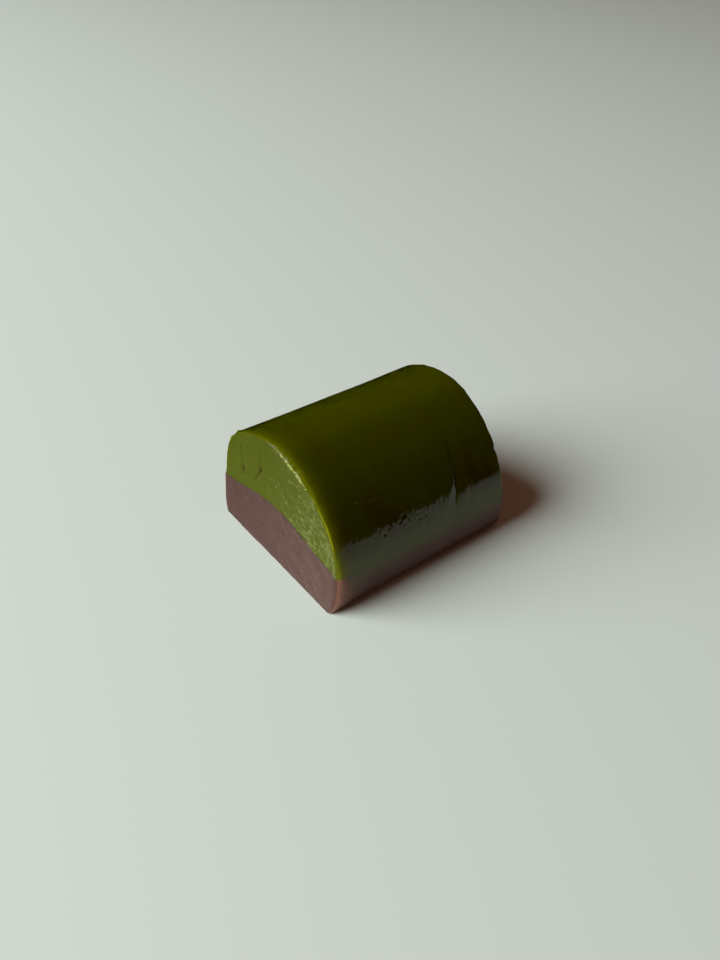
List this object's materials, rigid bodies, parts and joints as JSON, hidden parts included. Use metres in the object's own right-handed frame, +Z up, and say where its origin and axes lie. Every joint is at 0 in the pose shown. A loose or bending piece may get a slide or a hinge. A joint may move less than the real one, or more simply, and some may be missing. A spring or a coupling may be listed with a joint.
{
  "type": "yokan",
  "caption": "Cut piece of a round-topped bean jelly loaf: a domed purple azuki layer under an arched green matcha layer.",
  "frame": {"origin": "middle of the flat underside that the piece rests on", "axes": "+Y along the loaf from the front cut to the back cut, +Z up through the crown, +X across the loaf"},
  "size_m": [0.048, 0.0552, 0.036],
  "materials": {
    "azuki_jelly": "moist and slightly dull, as cut bean jelly",
    "matcha_jelly": "moist and glossy, as jelly from a smooth mould"
  },
  "bodies": {
    "root": {"azuki_layer": "azuki_jelly", "matcha_layer": "matcha_jelly"}
  },
  "joints": []
}
